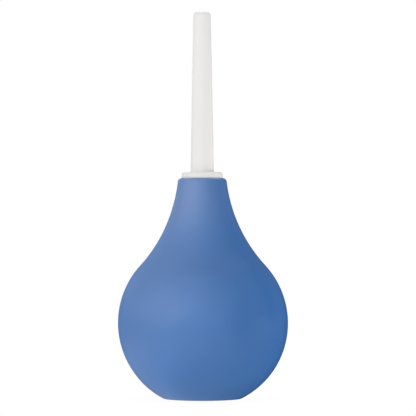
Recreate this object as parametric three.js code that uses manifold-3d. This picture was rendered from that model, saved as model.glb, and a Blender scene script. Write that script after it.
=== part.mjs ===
// A squeeze bulb with a push-in nozzle (a bulb syringe).
// Units are millimetres and +Z is up. The bulb stands on its foot at z = 0, centred on the Z axis.
//
// The soft bulb is one hollow moulding. It is built here as two bodies that meet on a flat ring: the round
// body, which shortens when the bulb is squeezed, and the neck, which keeps its shape and holds the nozzle.
// The nozzle is one rigid moulding: a tapered tube, a collar that rests on the neck's rim, and below the
// collar a hollow plug with three ribs that the neck grips.

import * as THREE from 'three';
import { mergeVertices } from 'three/addons/utils/BufferGeometryUtils.js';
import Module from 'manifold-3d';

// Bulb, outside
const BALL_RADIUS = 43.5;
const BALL_CENTRE_Z = 38.7;
const SHOULDER_RADIUS = 77;
const NECK_TOP_RADIUS = 12.25;
const RIM_Z = 112.8;
const RIM_EDGE_RADIUS = 2;
const FOOT_EDGE_RADIUS = 2;
const RECESS_RADIUS = 13;
const RECESS_DEPTH = 0.8;
const RECESS_CHAMFER = 0.5;

// Bulb, inside
const WALL = 2.3;
const FLOOR_Z = 3.2;
const FLOOR_EDGE_RADIUS = 4;
const SOCKET_RADIUS = 8.6;
const SOCKET_FOOT_Z = 98;
const SOCKET_CHAMFER = 0.6;

// Height of the flat ring where the body ends and the neck begins
const SPLIT_Z = 92;

// Nozzle, outside. Its heights are above the underside of the collar.
const NOZZLE_HEIGHT = 85;
const COLLAR_RADIUS = 10.5;
const COLLAR_HEIGHT = 3;
const COLLAR_EDGE_RADIUS = 1.6;
const TUBE_BASE_RADIUS = 5.9;
const TUBE_TIP_RADIUS = 4.4;
const TUBE_FILLET_RADIUS = 0.8;
const TIP_EDGE_RADIUS = 2;
const PLUG_RADIUS = 8;
const PLUG_LENGTH = 14;
const PLUG_CHAMFER = 1;
const RIBS = 3;
const RIB_RADIUS = 8.5;
const RIB_PITCH = 3.6;
const TOP_RIB_HEIGHT = -3.4;
const RIB_RAMP = 1.2;
const RIB_BACK = 0.3;

// Nozzle, inside
const HOLLOW_RADIUS = 6.4;
const HOLLOW_TOP = -1.5;
const BORE_BASE_RADIUS = 4.4;
const BORE_BASE_HEIGHT = 2.5;
const BORE_TIP_RADIUS = 3.1;
const TIP_WALL = 1.8;
const OUTLET_RADIUS = 1.5;

// Shallow grooves along the nozzle, running over the edge of its tip and fading out below
const FLUTES = 4;
const FIRST_FLUTE_AZIMUTH = THREE.MathUtils.degToRad(244);
const FLUTE_DEPTH = 0.35;
const FLUTE_LENGTH = 25;
const FLUTE_ROD_RADIUS = 0.9;
const FLUTE_ROD_SIDES = 16;
const FLUTE_ROD_OVERRUN = 2;

// Fineness: how many flat sides go round, and the most that one chord of an arc may turn and measure
const SIDES = 48;
const CHORD_TURN = THREE.MathUtils.degToRad(25);
const CHORD_LENGTH = 6;

const FULL_TURN = 2 * Math.PI;

const SOFT_BLUE = { color: 0x4a7ab2, roughness: 0.5, metalness: 0 };
const WHITE = { color: 0xebebe9, roughness: 0.4, metalness: 0 };

// A place on a profile: its distance from the Z axis and its height.
function at(radius, height) {
  return new THREE.Vector2(radius, height);
}

// A place on a circle of a profile. Angles are in radians, 0 pointing away from the Z axis and a quarter
// turn pointing up.
function onCircle(centre, radius, angle) {
  return at(centre.x + radius * Math.cos(angle), centre.y + radius * Math.sin(angle));
}

// An arc of a profile, as a run of equal chords.
function arc(centre, radius, startAngle, endAngle) {
  const turn = Math.abs(endAngle - startAngle);
  const chords = Math.ceil(Math.max(turn / CHORD_TURN, (turn * radius) / CHORD_LENGTH));
  return Array.from({ length: chords + 1 }, (_, index) => {
    return onCircle(centre, radius, THREE.MathUtils.lerp(startAngle, endAngle, index / chords));
  });
}

// The solid that a profile sweeps round the Z axis. A profile that starts off the axis is closed on itself.
function turned(profile) {
  const closing = profile[0].x > 0 ? [profile[0].clone()] : [];
  const geometry = new THREE.LatheGeometry([...profile, ...closing], SIDES);
  return geometry.rotateX(Math.PI / 2);
}

function mesh(name, geometry, look) {
  const made = new THREE.Mesh(geometry, new THREE.MeshStandardMaterial(look));
  made.name = name;
  return made;
}

// The shoulder is a hollow arc that leaves the ball without a corner and reaches the rim at the neck's top
// radius. Its centre makes a triangle with the ball's centre and the rim, and all three sides are known.
function shoulderFromBall() {
  const toShoulder = BALL_RADIUS + SHOULDER_RADIUS;
  const toRim = Math.hypot(NECK_TOP_RADIUS, RIM_Z - BALL_CENTRE_Z);
  const rimAngle = Math.atan2(RIM_Z - BALL_CENTRE_Z, NECK_TOP_RADIUS);
  const cosine = (toShoulder ** 2 + toRim ** 2 - SHOULDER_RADIUS ** 2) / (2 * toShoulder * toRim);
  const angle = rimAngle - Math.acos(cosine);
  const centre = at(toShoulder * Math.cos(angle), BALL_CENTRE_Z + toShoulder * Math.sin(angle));
  return { centre, angle };
}

const ball = at(0, BALL_CENTRE_Z);
const shoulder = shoulderFromBall();

// The angle, about the shoulder's centre, of a point at this height on the shoulder.
function shoulderAngle(height, radius) {
  return Math.PI + Math.asin((shoulder.centre.y - height) / radius);
}

// One skin of the body, from a level base up to the split: a rounded edge, the ball, then the shoulder.
// The inner skin is set in from the outer one by the wall.
function bodySkin(setIn, baseZ, edgeRadius) {
  const ballRadius = BALL_RADIUS - setIn;
  const shoulderRadius = SHOULDER_RADIUS + setIn;
  const edgeZ = baseZ + edgeRadius;
  const edge = at(Math.sqrt((ballRadius - edgeRadius) ** 2 - (BALL_CENTRE_Z - edgeZ) ** 2), edgeZ);
  const edgeAngle = Math.atan2(edge.y - BALL_CENTRE_Z, edge.x);
  const touchAngle = shoulder.angle + Math.PI;
  return [
    ...arc(edge, edgeRadius, -Math.PI / 2, edgeAngle),
    ...arc(ball, ballRadius, edgeAngle, 0).slice(1),
    ...arc(ball, ballRadius, 0, shoulder.angle).slice(1),
    ...arc(shoulder.centre, shoulderRadius, touchAngle, shoulderAngle(SPLIT_Z, shoulderRadius)).slice(1),
  ];
}

// The round body: a foot ring round a shallow recess, the outer skin, and the inner skin over a level floor.
function bulbBody() {
  const recess = [
    at(0, RECESS_DEPTH),
    at(RECESS_RADIUS - RECESS_CHAMFER, RECESS_DEPTH),
    at(RECESS_RADIUS, 0),
  ];
  const outside = bodySkin(0, 0, FOOT_EDGE_RADIUS);
  const inside = bodySkin(WALL, FLOOR_Z, FLOOR_EDGE_RADIUS).reverse();
  return turned([...recess, ...outside, ...inside, at(0, FLOOR_Z)]);
}

// The neck: the top of the shoulder and a rounded rim outside, and inside a straight socket for the plug
// that opens downwards into the ball.
function bulbNeck() {
  const innerRadius = SHOULDER_RADIUS + WALL;
  const innerFoot = onCircle(shoulder.centre, innerRadius, shoulderAngle(SPLIT_Z, innerRadius));
  const rimEdgeZ = RIM_Z - RIM_EDGE_RADIUS;
  const toRimEdge = SHOULDER_RADIUS + RIM_EDGE_RADIUS;
  const drop = shoulder.centre.y - rimEdgeZ;
  const rimEdge = at(shoulder.centre.x - Math.sqrt(toRimEdge ** 2 - drop ** 2), rimEdgeZ);
  const meetAngle = Math.asin(drop / toRimEdge);
  const footAngle = shoulderAngle(SPLIT_Z, SHOULDER_RADIUS);
  return turned([
    ...arc(shoulder.centre, SHOULDER_RADIUS, footAngle, Math.PI + meetAngle),
    ...arc(rimEdge, RIM_EDGE_RADIUS, meetAngle, Math.PI / 2).slice(1),
    at(SOCKET_RADIUS + SOCKET_CHAMFER, RIM_Z),
    at(SOCKET_RADIUS, RIM_Z - SOCKET_CHAMFER),
    at(SOCKET_RADIUS, SOCKET_FOOT_Z),
    innerFoot,
  ]);
}

// The ribs are barbs: each ramps out in the direction the plug is pushed in, and drops back sharply above.
function plugRibs() {
  return Array.from({ length: RIBS }, (_, index) => {
    const crest = TOP_RIB_HEIGHT - (RIBS - 1 - index) * RIB_PITCH;
    return [at(PLUG_RADIUS, crest - RIB_RAMP), at(RIB_RADIUS, crest), at(PLUG_RADIUS, crest + RIB_BACK)];
  }).flat();
}

function tubeRadius(height) {
  const along = (height - COLLAR_HEIGHT) / (NOZZLE_HEIGHT - COLLAR_HEIGHT);
  return THREE.MathUtils.lerp(TUBE_BASE_RADIUS, TUBE_TIP_RADIUS, along);
}

// The centre of the rounded edge round the tip.
function tipEdgeCentre() {
  const height = NOZZLE_HEIGHT - TIP_EDGE_RADIUS;
  return at(tubeRadius(height) - TIP_EDGE_RADIUS, height);
}

// The nozzle before its flutes are cut, from the plug's foot up the outside and back down the bore.
function nozzleBlank() {
  const collarEdge = at(COLLAR_RADIUS - COLLAR_EDGE_RADIUS, COLLAR_HEIGHT - COLLAR_EDGE_RADIUS);
  const filletTop = COLLAR_HEIGHT + TUBE_FILLET_RADIUS;
  const fillet = at(tubeRadius(filletTop) + TUBE_FILLET_RADIUS, filletTop);
  const boreTop = NOZZLE_HEIGHT - TIP_WALL;
  return turned([
    at(HOLLOW_RADIUS, -PLUG_LENGTH),
    at(PLUG_RADIUS - PLUG_CHAMFER, -PLUG_LENGTH),
    at(PLUG_RADIUS, PLUG_CHAMFER - PLUG_LENGTH),
    ...plugRibs(),
    at(PLUG_RADIUS, 0),
    at(COLLAR_RADIUS, 0),
    ...arc(collarEdge, COLLAR_EDGE_RADIUS, 0, Math.PI / 2),
    ...arc(fillet, TUBE_FILLET_RADIUS, 1.5 * Math.PI, Math.PI),
    ...arc(tipEdgeCentre(), TIP_EDGE_RADIUS, 0, Math.PI / 2),
    at(OUTLET_RADIUS, NOZZLE_HEIGHT),
    at(OUTLET_RADIUS, boreTop),
    at(BORE_TIP_RADIUS, boreTop),
    at(BORE_BASE_RADIUS, BORE_BASE_HEIGHT),
    at(HOLLOW_RADIUS, HOLLOW_TOP),
  ]);
}

// A round rod whose axis runs between two places on a profile and a little past both.
function rodBetween(foot, top) {
  const length = foot.distanceTo(top) + 2 * FLUTE_ROD_OVERRUN;
  const rod = new THREE.CylinderGeometry(FLUTE_ROD_RADIUS, FLUTE_ROD_RADIUS, length, FLUTE_ROD_SIDES);
  rod.rotateX(Math.PI / 2);
  rod.rotateY(Math.atan2(top.x - foot.x, top.y - foot.y));
  return rod.translate((foot.x + top.x) / 2, 0, (foot.y + top.y) / 2);
}

// The two rods that cut a flute. The long one leans out downwards, so the flute is deepest at the tip and
// runs out to nothing at its foot. The short one slants at 45 degrees over the tip's rounded edge. Both pass
// the centre of that edge at the same distance.
function fluteRods() {
  const edge = tipEdgeCentre();
  const reach = TIP_EDGE_RADIUS + FLUTE_ROD_RADIUS - FLUTE_DEPTH;
  const footHeight = NOZZLE_HEIGHT - FLUTE_LENGTH;
  const foot = at(tubeRadius(footHeight) + FLUTE_ROD_RADIUS, footHeight);
  const side = at(edge.x + reach * Math.SQRT2, edge.y);
  const top = at(edge.x, edge.y + reach * Math.SQRT2);
  return [rodBetween(foot, at(edge.x + reach, edge.y)), rodBetween(side, top)];
}

const wasm = await Module();
wasm.setup();

function solid(geometry) {
  geometry.deleteAttribute('normal');
  geometry.deleteAttribute('uv');
  const merged = mergeVertices(geometry);
  return new wasm.Manifold(new wasm.Mesh({
    numProp: 3,
    vertProperties: merged.attributes.position.array,
    triVerts: Uint32Array.from(merged.index.array),
  }));
}

function geometryOf(manifold) {
  const { vertProperties, triVerts } = manifold.getMesh();
  const geometry = new THREE.BufferGeometry();
  geometry.setAttribute('position', new THREE.BufferAttribute(vertProperties, 3));
  geometry.setIndex(new THREE.BufferAttribute(triVerts, 1));
  geometry.computeVertexNormals();
  return geometry;
}

function nozzle() {
  let body = solid(nozzleBlank());
  for (let index = 0; index < FLUTES; index += 1) {
    const azimuth = FIRST_FLUTE_AZIMUTH + (index / FLUTES) * FULL_TURN;
    for (const rod of fluteRods()) {
      body = body.subtract(solid(rod.rotateZ(azimuth)));
    }
  }
  return geometryOf(body);
}

// The nozzle stands on the neck's rim, and the neck carries it.
const nozzleMesh = mesh('nozzle', nozzle(), WHITE);
nozzleMesh.position.set(0, 0, RIM_Z);

const neck = new THREE.Group();
neck.add(mesh('bulb_neck', bulbNeck(), SOFT_BLUE), nozzleMesh);

const syringe = new THREE.Group();
syringe.add(mesh('bulb_body', bulbBody(), SOFT_BLUE), neck);

export default syringe;
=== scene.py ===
"""The looks of a bulb syringe: a soft blue bulb and a white push-in nozzle, standing on a pale floor.

Lengths are in metres, and MM is a millimetre. A profile is half of a section: an array of points, each a
distance from the Z axis and a height. The outer sizes of both pieces come from the frame.
"""

import math

import bpy
import numpy as np
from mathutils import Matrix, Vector


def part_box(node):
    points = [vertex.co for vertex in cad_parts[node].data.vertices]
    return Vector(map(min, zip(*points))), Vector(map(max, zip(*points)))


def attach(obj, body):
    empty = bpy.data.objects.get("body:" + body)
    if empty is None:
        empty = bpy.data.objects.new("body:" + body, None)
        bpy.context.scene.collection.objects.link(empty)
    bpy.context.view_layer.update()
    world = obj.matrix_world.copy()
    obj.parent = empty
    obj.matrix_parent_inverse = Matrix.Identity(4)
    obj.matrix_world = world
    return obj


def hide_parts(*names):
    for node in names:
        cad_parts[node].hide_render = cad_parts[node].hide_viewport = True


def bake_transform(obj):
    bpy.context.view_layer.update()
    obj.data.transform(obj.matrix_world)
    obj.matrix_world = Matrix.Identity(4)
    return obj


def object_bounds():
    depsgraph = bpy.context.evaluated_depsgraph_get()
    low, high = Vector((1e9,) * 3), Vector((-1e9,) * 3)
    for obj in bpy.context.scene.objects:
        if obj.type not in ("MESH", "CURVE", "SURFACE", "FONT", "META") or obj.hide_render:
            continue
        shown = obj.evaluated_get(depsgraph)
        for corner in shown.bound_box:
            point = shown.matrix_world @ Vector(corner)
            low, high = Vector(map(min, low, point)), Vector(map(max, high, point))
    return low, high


MM = 0.001
FULL_TURN = 2 * math.pi

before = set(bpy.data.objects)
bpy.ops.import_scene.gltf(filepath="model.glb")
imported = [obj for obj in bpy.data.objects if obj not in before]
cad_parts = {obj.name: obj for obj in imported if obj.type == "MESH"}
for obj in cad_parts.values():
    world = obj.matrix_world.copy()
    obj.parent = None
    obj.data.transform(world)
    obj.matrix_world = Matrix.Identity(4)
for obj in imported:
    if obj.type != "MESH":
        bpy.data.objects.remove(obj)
cad_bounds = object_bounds()

# ---------------------------------------------------------------- sizes from the frame

_, body_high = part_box("bulb_body")
neck_low, neck_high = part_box("bulb_neck")
nozzle_low, nozzle_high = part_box("nozzle")

BALL_RADIUS = body_high[0]
SPLIT_Z = neck_low[2]
RIM_Z = neck_high[2]
TIP_Z = nozzle_high[2]
COLLAR_RADIUS = nozzle_high[0]
PLUG_FOOT_Z = nozzle_low[2]

# ---------------------------------------------------------------- bulb sizes

BALL_CENTRE_Z = 38.7 * MM
SHOULDER_RADIUS = 77 * MM
NECK_TOP_RADIUS = 12.25 * MM
RIM_EDGE = 2 * MM
FOOT_EDGE = 2 * MM
RECESS_RADIUS = 13 * MM
RECESS_DEPTH = 0.8 * MM
RECESS_CHAMFER = 0.5 * MM
RECESS_LIP = 0.3 * MM
FOOT_RING_START = RECESS_RADIUS + 1 * MM
WALL = 2.3 * MM
INNER_FLOOR_Z = 3.2 * MM
INNER_FLOOR_EDGE = 4 * MM
SOCKET_RADIUS = 8.6 * MM
SOCKET_FOOT_Z = 98 * MM
SOCKET_CHAMFER = 0.6 * MM

# ---------------------------------------------------------------- nozzle sizes

# The heights are above the collar's underside.
COLLAR_HEIGHT = 3 * MM
COLLAR_EDGE = 1.6 * MM
TUBE_BASE_RADIUS = 5.9 * MM
TUBE_TIP_RADIUS = 4.4 * MM
TUBE_FILLET = 0.8 * MM
TIP_EDGE = 2 * MM
PLUG_RADIUS = 8 * MM
PLUG_CHAMFER = 1 * MM
RIBS = 3
RIB_RADIUS = 8.5 * MM
RIB_PITCH = 3.6 * MM
TOP_RIB_HEIGHT = -3.4 * MM
RIB_RAMP = 1.2 * MM
RIB_BACK = 0.3 * MM
HOLLOW_RADIUS = 6.4 * MM
HOLLOW_TOP = -1.5 * MM
BORE_BASE_RADIUS = 4.4 * MM
BORE_BASE_HEIGHT = 2.5 * MM
BORE_TIP_RADIUS = 3.1 * MM
TIP_WALL = 1.8 * MM
OUTLET_RADIUS = 1.5 * MM

FLUTES = 4
FIRST_FLUTE = math.radians(244)
FLUTE_DEPTH = 0.35 * MM
FLUTE_HALF_WIDTH = 0.75 * MM
FLUTE_LENGTH = 25 * MM
FLUTE_FULL_DEPTH_LENGTH = 0.35 * FLUTE_LENGTH
FLUTE_SHARPNESS = 1.3


# ---------------------------------------------------------------- profiles

def angle_of(vector):
    return math.atan2(vector[1], vector[0])


def arc(centre, radius, start, end, longest):
    """Points on an arc, from the angle start to the angle end, no further apart than longest."""
    steps = max(2, math.ceil(abs(end - start) * radius / longest))
    angles = np.linspace(start, end, steps + 1)
    return np.column_stack([centre[0] + radius * np.cos(angles), centre[1] + radius * np.sin(angles)])


def straight(start, end, longest):
    """Points on a straight stretch, its start left out, no further apart than longest."""
    start, end = np.array(start), np.array(end)
    steps = max(1, math.ceil(np.linalg.norm(end - start) / longest))
    return start + (end - start) * (np.arange(1, steps + 1) / steps)[:, None]


def corner_arc(corner, before, after, rounding, longest):
    """The arc that rounds off a corner and touches the straight stretches to its two neighbours."""
    back = (before - corner) / np.linalg.norm(before - corner)
    on = (after - corner) / np.linalg.norm(after - corner)
    half = math.acos(np.clip(back @ on, -1, 1)) / 2
    centre = corner + (back + on) / np.linalg.norm(back + on) * rounding / math.sin(half)
    first = corner + back * rounding / math.tan(half)
    last = corner + on * rounding / math.tan(half)
    start = angle_of(first - centre)
    turning = (angle_of(last - centre) - start + math.pi) % FULL_TURN - math.pi
    return arc(centre, rounding, start, start + turning, longest)


def rounded(corners, straight_step, arc_step, closed):
    """An outline through corners (radius, height, rounding). The ends of an open outline aren't rounded."""
    places = [np.array(corner[:2]) for corner in corners]
    arcs = []
    for index, (*_, rounding) in enumerate(corners):
        if not closed and index in (0, len(corners) - 1):
            arcs.append(np.array([places[index]]))
        else:
            after = places[(index + 1) % len(places)]
            arcs.append(corner_arc(places[index], places[index - 1], after, rounding, arc_step))
    outline = [arcs[0]]
    for this_arc, next_arc in zip(arcs, arcs[1:]):
        outline.append(straight(this_arc[-1], next_arc[0], straight_step))
        outline.append(next_arc[1:])
    if closed:
        outline.append(straight(arcs[-1][-1], arcs[0][0], straight_step)[:-1])
    return np.vstack(outline)


def shoulder_from_ball():
    """The centre of the hollow shoulder arc, and the angle at which it touches the ball.

    The arc leaves the ball without a corner and reaches the rim at the neck's top radius.
    """
    to_shoulder = BALL_RADIUS + SHOULDER_RADIUS
    rise = RIM_Z - BALL_CENTRE_Z
    to_rim = math.hypot(NECK_TOP_RADIUS, rise)
    cosine = (to_shoulder ** 2 + to_rim ** 2 - SHOULDER_RADIUS ** 2) / (2 * to_shoulder * to_rim)
    angle = math.atan2(rise, NECK_TOP_RADIUS) - math.acos(cosine)
    centre = (to_shoulder * math.cos(angle), BALL_CENTRE_Z + to_shoulder * math.sin(angle))
    return centre, angle


SHOULDER_CENTRE, TOUCH_ANGLE = shoulder_from_ball()


def ball_and_shoulder(set_in, base_z, edge, end_angle, longest):
    """One skin of the bulb, from its level base over the ball and up the shoulder to end_angle."""
    ball_centre = (0, BALL_CENTRE_Z)
    radius = BALL_RADIUS - set_in
    edge_z = base_z + edge
    edge_centre = (math.sqrt((radius - edge) ** 2 - (BALL_CENTRE_Z - edge_z) ** 2), edge_z)
    edge_angle = math.atan2(edge_z - BALL_CENTRE_Z, edge_centre[0])
    return np.vstack([
        arc(edge_centre, edge, -math.pi / 2, edge_angle, longest / 2),
        arc(ball_centre, radius, edge_angle, TOUCH_ANGLE, longest)[1:],
        arc(SHOULDER_CENTRE, SHOULDER_RADIUS + set_in, TOUCH_ANGLE + math.pi, end_angle, longest)[1:],
    ])


def underside_profile():
    """From the middle of the underside, across the shallow recess, to the foot ring."""
    corners = [
        (0, RECESS_DEPTH, 0),
        (RECESS_RADIUS - RECESS_CHAMFER, RECESS_DEPTH, RECESS_CHAMFER),
        (RECESS_RADIUS, 0, RECESS_LIP),
        (FOOT_RING_START, 0, 0),
    ]
    return rounded(corners, straight_step=1.5 * MM, arc_step=0.15 * MM, closed=False)


def bulb_outer_profile():
    """From the middle of the underside, over the foot ring, up the outside, and over the rim's edge."""
    underside = underside_profile()
    rim_edge_z = RIM_Z - RIM_EDGE
    reach = SHOULDER_RADIUS + RIM_EDGE
    drop = SHOULDER_CENTRE[1] - rim_edge_z
    rim_centre = (SHOULDER_CENTRE[0] - math.sqrt(reach ** 2 - drop ** 2), rim_edge_z)
    meet = math.asin(drop / reach)
    outside = ball_and_shoulder(0, 0, FOOT_EDGE, math.pi + meet, longest=1.2 * MM)
    rim = arc(rim_centre, RIM_EDGE, meet, math.pi / 2, longest=0.25 * MM)
    foot_ring = straight(underside[-1], outside[0], longest=1.5 * MM)[:-1]
    return np.vstack([underside, foot_ring, outside, rim[1:]])


def bulb_inner_profile():
    """From the rim, down the socket that grips the plug, and down the inner skin to its floor's middle."""
    inner_radius = SHOULDER_RADIUS + WALL
    split_angle = math.pi + math.asin((SHOULDER_CENTRE[1] - SPLIT_Z) / inner_radius)
    upwards = ball_and_shoulder(WALL, INNER_FLOOR_Z, INNER_FLOOR_EDGE, split_angle, longest=2.5 * MM)
    inside = upwards[::-1]
    corners = [
        (SOCKET_RADIUS + SOCKET_CHAMFER, RIM_Z, 0),
        (SOCKET_RADIUS, RIM_Z - SOCKET_CHAMFER, SOCKET_CHAMFER / 2),
        (SOCKET_RADIUS, SOCKET_FOOT_Z, SOCKET_CHAMFER),
        (*inside[0], 0),
    ]
    socket = rounded(corners, straight_step=2 * MM, arc_step=0.2 * MM, closed=False)
    floor = straight(inside[-1], (0, INNER_FLOOR_Z), longest=4 * MM)
    return np.vstack([socket, inside[1:], floor])


def plug_ribs():
    """The corners of the plug's barbs, from the lowest up: a ramp outwards, then a short back."""
    corners = []
    for index in range(RIBS):
        crest = TOP_RIB_HEIGHT - (RIBS - 1 - index) * RIB_PITCH
        corners += [
            (PLUG_RADIUS, crest - RIB_RAMP, 0.3 * MM),
            (RIB_RADIUS, crest, 0.08 * MM),
            (PLUG_RADIUS, crest + RIB_BACK, 0.1 * MM),
        ]
    return corners


def nozzle_profile():
    """Once round the nozzle's section, from the plug's foot up the outside and back down the bore."""
    tip = TIP_Z - RIM_Z
    foot = PLUG_FOOT_Z - RIM_Z
    corners = [
        (HOLLOW_RADIUS, foot, 0.25 * MM),
        (PLUG_RADIUS - PLUG_CHAMFER, foot, 0.3 * MM),
        (PLUG_RADIUS, foot + PLUG_CHAMFER, 0.5 * MM),
        *plug_ribs(),
        (PLUG_RADIUS, 0, 0.15 * MM),
        (COLLAR_RADIUS, 0, 0.2 * MM),
        (COLLAR_RADIUS, COLLAR_HEIGHT, COLLAR_EDGE),
        (TUBE_BASE_RADIUS, COLLAR_HEIGHT, TUBE_FILLET),
        (TUBE_TIP_RADIUS, tip, TIP_EDGE),
        (OUTLET_RADIUS, tip, 0.3 * MM),
        (OUTLET_RADIUS, tip - TIP_WALL, 0.1 * MM),
        (BORE_TIP_RADIUS, tip - TIP_WALL, 0.6 * MM),
        (BORE_BASE_RADIUS, BORE_BASE_HEIGHT, 2 * MM),
        (HOLLOW_RADIUS, HOLLOW_TOP, 2 * MM),
    ]
    return rounded(corners, straight_step=1.2 * MM, arc_step=0.2 * MM, closed=True) + [0, RIM_Z]


# ---------------------------------------------------------------- turning a profile into a mesh

def turn(name, profile, angles, shape):
    """A closed mesh from a profile turned about the Z axis, with a point of it at each of the angles.

    A profile that starts on the axis also ends there, in two poles. Any other is closed on itself.
    shape moves the points. It is given their radius, height and azimuth, and how far their outward direction
    points away from the axis and up, and it gives back the new radius and height.
    """
    has_poles = profile[0, 0] == 0
    rings = profile[1:-1] if has_poles else profile
    count, sides = len(rings), len(angles)
    along = np.roll(rings, -1, axis=0) - np.roll(rings, 1, axis=0)
    if has_poles:
        along[0] = rings[1] - profile[0]
        along[-1] = profile[-1] - rings[-2]
    along /= np.linalg.norm(along, axis=1)[:, None]
    radius, height = np.repeat(rings[:, 0], sides), np.repeat(rings[:, 1], sides)
    out, up = np.repeat(along[:, 1], sides), np.repeat(-along[:, 0], sides)
    azimuth = np.tile(angles, count)
    radius, height = shape(radius, height, azimuth, out, up)
    points = np.column_stack([radius * np.cos(azimuth), radius * np.sin(azimuth), height])

    def vertex(ring, side):
        return (ring % count) * sides + side % sides

    bands = count - 1 if has_poles else count
    faces = [
        (vertex(ring, side), vertex(ring, side + 1), vertex(ring + 1, side + 1), vertex(ring + 1, side))
        for ring in range(bands) for side in range(sides)
    ]
    if has_poles:
        first, last = len(points), len(points) + 1
        points = np.vstack([points, [0, 0, profile[0, 1]], [0, 0, profile[-1, 1]]])
        faces += [(first, vertex(0, side + 1), vertex(0, side)) for side in range(sides)]
        faces += [(last, vertex(count - 1, side), vertex(count - 1, side + 1)) for side in range(sides)]
    mesh = bpy.data.meshes.new(name)
    mesh.from_pydata(points.tolist(), [], faces)
    mesh.polygons.foreach_set("use_smooth", [True] * len(mesh.polygons))
    mesh.update()
    made = bpy.data.objects.new(name, mesh)
    bpy.context.collection.objects.link(made)
    return made


def ring_angles(sides, across_line):
    """Even angles round a full turn, with extra ones across the parting line on each side, at +X and -X."""
    even = np.arange(sides) * FULL_TURN / sides
    fine = np.concatenate([across_line, math.pi + across_line]) % FULL_TURN
    return np.unique(np.round(np.concatenate([even, fine]), 6))


def parting_line(radius, azimuth, half_width):
    """1 on the line where the two halves of the mould met, falling smoothly to 0 at half_width from it."""
    distance = radius * np.abs((azimuth + math.pi / 2) % math.pi - math.pi / 2)
    return np.clip(1 - (distance / half_width) ** 2, 0, 1) ** 2


def smooth(value, start, end):
    """A smooth change from 0 at start to 1 at end, held at both. The end may be the lower one."""
    share = np.clip((value - start) / (end - start), 0, 1)
    return share * share * (3 - 2 * share)


# ---------------------------------------------------------------- the bulb

BULB_SIDES = 180
PARTING_RIDGE = 0.09 * MM
PARTING_HALF_WIDTH = 0.35 * MM
OUT_OF_ROUND = 0.12 * MM
BALL_SWAY = 0.25 * MM
WAVE_DRIFT = 60 * MM
BELLY_FOOT_Z = 15 * MM
BELLY_TOP_Z = 70 * MM
BELLY_END_Z = 100 * MM
RIDGE_START_Z = 0.3 * MM
RIDGE_FOOT_Z = 3 * MM

# The strength of a painted sheen, a paler and greyer blue on the neck and the rim's edge, is stored at each
# point of the skin under this name. It grows from 0 to SHEEN_AT_SOCKET round the foot of the socket, and
# from there to 1 at the rim's edge.
PAINTED_SHEEN = "painted_neck_sheen"
SHEEN_AT_SOCKET = 0.4
SHEEN_START_Z = SOCKET_FOOT_Z - 23 * MM
SHEEN_END_Z = SOCKET_FOOT_Z + 8 * MM
RIM_SHEEN_START_Z = RIM_Z - 1.3 * MM
RIM_SHEEN_END_Z = RIM_Z - 0.4 * MM


def shape_bulb_skin(radius, height, azimuth, out, up):
    """The mould's parting ridge up the outside, and the slight waviness of a soft moulding's belly."""
    faces_out = out > 0.02
    up_the_side = smooth(height, RIDGE_START_Z, RIDGE_FOOT_Z) * smooth(height, RIM_Z, RIM_Z - RIM_EDGE)
    ridge = PARTING_RIDGE * faces_out * up_the_side * parting_line(radius, azimuth, PARTING_HALF_WIDTH)
    belly = smooth(height, 0, BELLY_FOOT_Z) * smooth(height, BELLY_END_Z, BELLY_TOP_Z)
    drift = height / WAVE_DRIFT
    waves = (0.6 * np.cos(2 * azimuth + 0.7 + drift)
             + 0.4 * np.cos(3 * azimuth - 1.1 - 2 * drift)
             - 0.25 * np.cos(5 * azimuth + 2.0 + 3 * drift))
    shift = belly * (OUT_OF_ROUND * waves + BALL_SWAY * np.cos(azimuth) - PARTING_RIDGE)
    return radius + ridge * np.abs(out) + shift, height + ridge * up


def mark_painted_sheen(skin):
    """Stores the strength of the painted sheen at each point, for its material to show."""
    heights = np.array([vertex.co.z for vertex in skin.data.vertices])
    over_plug = smooth(heights, SHEEN_START_Z, SHEEN_END_Z)
    at_rim = smooth(heights, RIM_SHEEN_START_Z, RIM_SHEEN_END_Z)
    sheen_share = skin.data.attributes.new(PAINTED_SHEEN, "FLOAT", "POINT")
    # Painted sheen: 0 on the ball, rising over the neck to 1 at the rim's edge.
    sheen_share.data.foreach_set("value", SHEEN_AT_SOCKET * over_plug + (1 - SHEEN_AT_SOCKET) * at_rim)


def make_bulb():
    profile = np.vstack([bulb_outer_profile(), bulb_inner_profile()])
    across_line = np.array([-2, -1, -0.5, 0, 0.5, 1, 2]) * PARTING_HALF_WIDTH / BALL_RADIUS
    skin = turn("bulb_skin", profile, ring_angles(BULB_SIDES, across_line), shape_bulb_skin)
    skin.data.set_sharp_from_angle(angle=math.radians(50))
    skin.data.materials.append(soft_blue_vinyl())
    mark_painted_sheen(skin)
    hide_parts("bulb_body", "bulb_neck")
    return skin


# ---------------------------------------------------------------- the nozzle

NOZZLE_SIDES = 144
NOZZLE_RIDGE = 0.05 * MM
NOZZLE_RIDGE_HALF_WIDTH = 0.22 * MM


def flute_depth(radius, height, azimuth):
    """How deep the flutes are at each point: deepest at the tip, and running out down the tube."""
    depth = np.zeros_like(radius)
    for index in range(FLUTES):
        middle = FIRST_FLUTE + index * FULL_TURN / FLUTES
        off = (azimuth - middle + math.pi) % FULL_TURN - math.pi
        across = np.clip(1 - (radius * off / FLUTE_HALF_WIDTH) ** 2, 0, 1)
        depth += FLUTE_DEPTH * across ** FLUTE_SHARPNESS * (np.abs(off) < math.pi / FLUTES)
    down_the_tube = smooth(height, TIP_Z - FLUTE_LENGTH, TIP_Z - FLUTE_FULL_DEPTH_LENGTH)
    over_the_edge = smooth(radius, TUBE_TIP_RADIUS - TIP_EDGE, TUBE_TIP_RADIUS - 0.2 * TIP_EDGE)
    return depth * down_the_tube * np.where(height > TIP_Z - TIP_EDGE, over_the_edge, 1.0)


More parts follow.
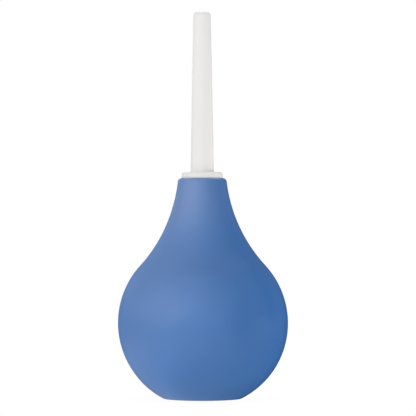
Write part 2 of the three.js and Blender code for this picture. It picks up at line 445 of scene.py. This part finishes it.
def shape_nozzle(radius, height, azimuth, out, up):
    """The flutes at the tip, and the fine parting ridge up the tube and over the collar."""
    faces_out = out > 0.2
    faces_up = up > 0.2
    outside = (radius > OUTLET_RADIUS + 0.5 * MM) & (faces_out | faces_up) & (height > RIM_Z)
    ridge = NOZZLE_RIDGE * faces_out * parting_line(radius, azimuth, NOZZLE_RIDGE_HALF_WIDTH)
    move = outside * (ridge - flute_depth(radius, height, azimuth))
    return radius + move * out, height + move * up


def make_nozzle():
    across_line = np.array([-1, -0.5, 0, 0.5, 1]) * NOZZLE_RIDGE_HALF_WIDTH / TUBE_BASE_RADIUS
    angles = ring_angles(NOZZLE_SIDES, across_line)
    moulding = turn("nozzle_moulding", nozzle_profile(), angles, shape_nozzle)
    moulding.data.set_sharp_from_angle(angle=math.radians(60))
    moulding.data.materials.append(white_polythene())
    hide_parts("nozzle")
    return moulding


# ---------------------------------------------------------------- nodes

# A Mix node has sockets for every kind of value. These are its two inputs and its result for colours, and
# for plain numbers.
MIX_COLOURS = (6, 7)
MIXED_COLOUR = 2
MIX_NUMBERS = (2, 3)
MIXED_NUMBER = 0


class Nodes:
    """A node tree under construction, with short calls for the few nodes that the scene uses."""

    def __init__(self, tree):
        self.tree = tree

    def node(self, kind, **settings):
        made = self.tree.nodes.new(kind)
        for key, value in settings.items():
            setattr(made, key, value)
        return made

    def link(self, start, end):
        self.tree.links.new(start, end)

    def feed(self, socket, value):
        """Gives a socket a value, which is another node's output, a number or a colour."""
        if isinstance(value, bpy.types.NodeSocket):
            self.link(value, socket)
        elif isinstance(value, tuple):
            socket.default_value = (*value, 1)
        else:
            socket.default_value = value

    def spread(self, value, low, high, to_low, to_high):
        """Maps low..high of a value to to_low..to_high, held at both ends."""
        made = self.node("ShaderNodeMapRange")
        for key, number in (("From Min", low), ("From Max", high), ("To Min", to_low), ("To Max", to_high)):
            made.inputs[key].default_value = number
        self.link(value, made.inputs["Value"])
        return made.outputs["Result"]

    def calculate(self, operation, first, second):
        made = self.node("ShaderNodeMath", operation=operation)
        self.feed(made.inputs[0], first)
        self.feed(made.inputs[1], second)
        return made.outputs["Value"]

    def mix(self, share, first, second):
        """A colour between first and second. Each is a colour or another node's output."""
        made = self.node("ShaderNodeMix", data_type="RGBA")
        self.link(share, made.inputs["Factor"])
        for index, colour in zip(MIX_COLOURS, (first, second)):
            self.feed(made.inputs[index], colour)
        return made.outputs[MIXED_COLOUR]

    def ray_switch(self, ray, otherwise, when):
        """A number for the rays of this kind and another number for all others."""
        path = self.node("ShaderNodeLightPath")
        made = self.node("ShaderNodeMix")
        self.link(path.outputs[ray], made.inputs["Factor"])
        for index, number in zip(MIX_NUMBERS, (otherwise, when)):
            self.feed(made.inputs[index], number)
        return made.outputs[MIXED_NUMBER]


class Shader(Nodes):
    """The nodes of a new material, with the object's own coordinates as the place of each point."""

    def __init__(self, name):
        self.material = bpy.data.materials.new(name)
        self.material.use_nodes = True
        super().__init__(self.material.node_tree)
        self.surface = self.tree.nodes["Principled BSDF"]
        self.place = self.node("ShaderNodeTexCoord").outputs["Object"]

    def noise(self, scale, detail, roughness=0.5, stretch=None):
        """Noise of about scale features to the metre, drawn out along an axis if asked."""
        place = self.place
        if stretch:
            mapping = self.node("ShaderNodeMapping")
            mapping.inputs["Scale"].default_value = stretch
            self.link(place, mapping.inputs["Vector"])
            place = mapping.outputs["Vector"]
        made = self.node("ShaderNodeTexNoise")
        made.inputs["Scale"].default_value = scale
        made.inputs["Detail"].default_value = detail
        made.inputs["Roughness"].default_value = roughness
        self.link(place, made.inputs["Vector"])
        return made.outputs["Fac"]

    def bump(self, height, distance, strength, under=None):
        """A bumpy surface, laid over the one under it if there is one."""
        made = self.node("ShaderNodeBump")
        made.inputs["Distance"].default_value = distance
        made.inputs["Strength"].default_value = strength
        self.link(height, made.inputs["Height"])
        if under:
            self.link(under, made.inputs["Normal"])
        return made.outputs["Normal"]

    def set(self, **values):
        """Sets inputs of the surface by name, with _ for each space."""
        for key, value in values.items():
            self.feed(self.surface.inputs[key.replace("_", " ")], value)


# ---------------------------------------------------------------- materials

BLUE_PALE = (0.033, 0.127, 0.350)
BLUE_DEEP = (0.029, 0.118, 0.334)
# Painted sheen: a paler, greyer blue painted on the neck and the rim's edge, where light makes them look
# lighter.
BLUE_PAINTED_SHEEN = (0.098, 0.178, 0.380)
WHITE = (0.742, 0.735, 0.728)
WHITE_WARM = (0.717, 0.708, 0.695)


def soft_blue_vinyl():
    """Satin PVC: even blue with a faint cloudiness, a fine matt grain and a slightly uneven sheen.

    On the neck and the rim's edge it is smoother, and a painted sheen makes it paler and greyer there.
    """
    shader = Shader("soft_blue_vinyl")
    clouds = shader.spread(shader.noise(scale=38, detail=3, roughness=0.55), 0.35, 0.65, 0, 1)
    specks = shader.spread(shader.noise(scale=2600, detail=2, roughness=0.6), 0.60, 0.78, 0, 0.25)
    colour = shader.mix(clouds, BLUE_DEEP, BLUE_PALE)
    colour = shader.mix(specks, colour, BLUE_PALE)
    sheen_share = shader.node("ShaderNodeAttribute", attribute_name=PAINTED_SHEEN).outputs["Fac"]
    # Painted sheen on the neck and the rim's edge.
    colour = shader.mix(sheen_share, colour, BLUE_PAINTED_SHEEN)
    uneven = shader.spread(shader.noise(scale=90, detail=4, roughness=0.6), 0.3, 0.7, 0.37, 0.43)
    tightened = shader.spread(sheen_share, 0, SHEEN_AT_SOCKET, 1.0, 0.75)
    roughness = shader.calculate("MULTIPLY", uneven, tightened)
    peel = shader.bump(shader.noise(scale=420, detail=3), distance=0.05 * MM, strength=0.25)
    fine_noise = shader.noise(scale=5200, detail=3, roughness=0.6)
    grain = shader.bump(fine_noise, distance=0.02 * MM, strength=0.5, under=peel)
    shader.set(Base_Color=colour, Roughness=roughness, Normal=grain, IOR=1.5)
    return shader.material


def white_polythene():
    """Natural white polythene: slightly milky, with a soft shine and faint flow marks along the tube."""
    shader = Shader("white_polythene")
    flow = shader.spread(shader.noise(scale=160, detail=3, stretch=(1, 1, 0.12)), 0.35, 0.65, 0, 1)
    colour = shader.mix(flow, WHITE_WARM, WHITE)
    shine = shader.spread(shader.noise(scale=300, detail=3, roughness=0.55), 0.3, 0.7, 0.34, 0.44)
    long_noise = shader.noise(scale=700, detail=2, stretch=(1, 1, 0.2))
    ripple = shader.bump(long_noise, distance=0.03 * MM, strength=0.2)
    fine_noise = shader.noise(scale=6000, detail=2, roughness=0.6)
    grain = shader.bump(fine_noise, distance=0.01 * MM, strength=0.4, under=ripple)
    shader.set(Base_Color=colour, Roughness=shine, Normal=grain, IOR=1.52, Specular_IOR_Level=0.45)
    return shader.material


# ---------------------------------------------------------------- the light tent

# The tent and the floor each have one strength for what the camera sees, one for the light on matt
# surfaces, and one for reflections, which falls off from the bright side to nothing on the far side.
TENT_SEEN = 1.0
TENT_DIFFUSE = 0.72
TENT_BRIGHT = 3.8
FLOOR_DIFFUSE = 1.04
FLOOR_BRIGHT = 2.5
BRIGHT_SIDE = (-0.65, -0.71, 0.34)
BRIGHT_FALL_OFF = 2.6

# Close round the object the floor's glow is lowered as a painted soft shadow: slightly darker to look at,
# and much darker in reflections.
SHADE_START = 25 * MM
SHADE_SEEN = 0.975
SHADE_SEEN_END = 45 * MM
SHADE_REFLECTED = 0.3
SHADE_REFLECTED_END = 90 * MM

FLOOR_HALF_WIDTH = 6.0
FLOOR_GAP = 0.02 * MM


def tent_light(nodes, place, diffuse, bright):
    """The strength, for each kind of ray, of the tent in the direction of a place seen from the origin."""
    direction = nodes.node("ShaderNodeVectorMath", operation="NORMALIZE")
    nodes.link(place, direction.inputs[0])
    towards_bright = nodes.node("ShaderNodeVectorMath", operation="DOT_PRODUCT")
    towards_bright.inputs[1].default_value = Vector(BRIGHT_SIDE).normalized()
    nodes.link(direction.outputs["Vector"], towards_bright.inputs[0])
    nearness = nodes.spread(towards_bright.outputs["Value"], -1, 1, 0, 1)
    falling = nodes.calculate("POWER", nearness, BRIGHT_FALL_OFF)
    reflected = nodes.spread(falling, 0, 1, 0, bright)
    unseen = nodes.ray_switch("Is Diffuse Ray", reflected, diffuse)
    return nodes.ray_switch("Is Camera Ray", unseen, TENT_SEEN)


def make_world():
    world = bpy.data.worlds.new("light_tent")
    world.use_nodes = True
    bpy.context.scene.world = world
    nodes = Nodes(world.node_tree)
    direction = nodes.node("ShaderNodeTexCoord").outputs["Generated"]
    strength = tent_light(nodes, direction, TENT_DIFFUSE, TENT_BRIGHT)
    background = nodes.tree.nodes["Background"]
    nodes.feed(background.inputs["Color"], (1, 1, 1))
    nodes.feed(background.inputs["Strength"], strength)


def lit_white_floor():
    """A white floor that glows like the tent around it, as a lit acrylic table would, with a painted soft
    shadow where the object stands.
    """
    shader = Shader("lit_white_floor")
    glow = tent_light(shader, shader.place, FLOOR_DIFFUSE, FLOOR_BRIGHT)
    length = shader.node("ShaderNodeVectorMath", operation="LENGTH")
    shader.link(shader.place, length.inputs[0])
    distance = length.outputs["Value"]
    # Painted shadow: the glow is lowered close round the object.
    seen = shader.spread(distance, SHADE_START, SHADE_SEEN_END, SHADE_SEEN, 1)
    reflected = shader.spread(distance, SHADE_START, SHADE_REFLECTED_END, SHADE_REFLECTED, 1)
    strength = shader.calculate("MULTIPLY", glow, shader.ray_switch("Is Glossy Ray", seen, reflected))
    shader.set(Emission_Color=(1, 1, 1), Emission_Strength=strength)
    shader.set(Base_Color=(0, 0, 0), Roughness=0.7, Specular_IOR_Level=0)
    return shader.material


def make_floor():
    around = ((-1, -1), (1, -1), (1, 1), (-1, 1))
    corners = [(x * FLOOR_HALF_WIDTH, y * FLOOR_HALF_WIDTH, 0) for x, y in around]
    mesh = bpy.data.meshes.new("floor")
    mesh.from_pydata(corners, [], [(0, 1, 2, 3)])
    floor = bpy.data.objects.new("floor", mesh)
    floor.location.z = -FLOOR_GAP
    floor.data.materials.append(lit_white_floor())
    bpy.context.collection.objects.link(floor)


# ---------------------------------------------------------------- lights and camera

CAMERA_DISTANCE = 1.535
CAMERA_HEIGHT = 97.5 * MM
CAMERA_SIDE = 2.9 * MM
CAMERA_ROLL = math.radians(0.1)
LENS = 259.6
SENSOR_WIDTH = 36


def softbox(name, towards, distance, width, height, power, diffuse=True, glossy=True):
    """A soft light in some direction from the object's middle, and facing it.

    It lights matt surfaces, shows in shiny ones, or does both.
    """
    middle = (Vector(cad_bounds[0]) + Vector(cad_bounds[1])) / 2
    direction = Vector(towards).normalized()
    lamp = bpy.data.lights.new(name, "AREA")
    lamp.shape = "RECTANGLE"
    lamp.size = width
    lamp.size_y = height
    lamp.energy = power
    holder = bpy.data.objects.new(name, lamp)
    holder.location = middle + direction * distance
    holder.rotation_euler = direction.to_track_quat("Z", "Y").to_euler()
    holder.visible_camera = False
    holder.visible_diffuse = diffuse
    holder.visible_glossy = glossy
    bpy.context.collection.objects.link(holder)


def make_lights():
    """A broad sheen on the left, a glint over the shoulder, a low fill on the right, and two edge lights."""
    softbox("key", (-0.77, -0.54, 0.34), distance=1.3, width=2.0, height=0.9, power=2.8, diffuse=False)
    softbox("hair", (0, 0.6, 0.8), distance=1.4, width=1.0, height=0.5, power=7.0, diffuse=False)
    softbox("fill", (1, 0.1, -0.285), distance=0.3, width=0.35, height=0.03, power=0.4, glossy=False)
    for name, side, power in (("left_edge", -1, 0.2), ("right_edge", 1, 0.1)):
        towards = (side * 0.55, 0.8, 0.27)
        softbox(name, towards, distance=1.2, width=0.7, height=0.5, power=power, diffuse=False)


def make_camera():
    """A long lens at about half the object's height, a little right of its axis."""
    data = bpy.data.cameras.new("camera")
    data.sensor_width = SENSOR_WIDTH
    data.lens = LENS
    camera = bpy.data.objects.new("camera", data)
    camera.location = (CAMERA_SIDE, -CAMERA_DISTANCE, CAMERA_HEIGHT)
    camera.rotation_euler = (math.pi / 2, CAMERA_ROLL, 0)
    bpy.context.collection.objects.link(camera)
    bpy.context.scene.camera = camera


# ---------------------------------------------------------------- the scene

make_camera()
make_world()
make_lights()
make_floor()

bulb = make_bulb()
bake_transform(bulb)

nozzle = make_nozzle()
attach(nozzle, "nozzle")

bpy.context.scene.view_settings.view_transform = "Standard"
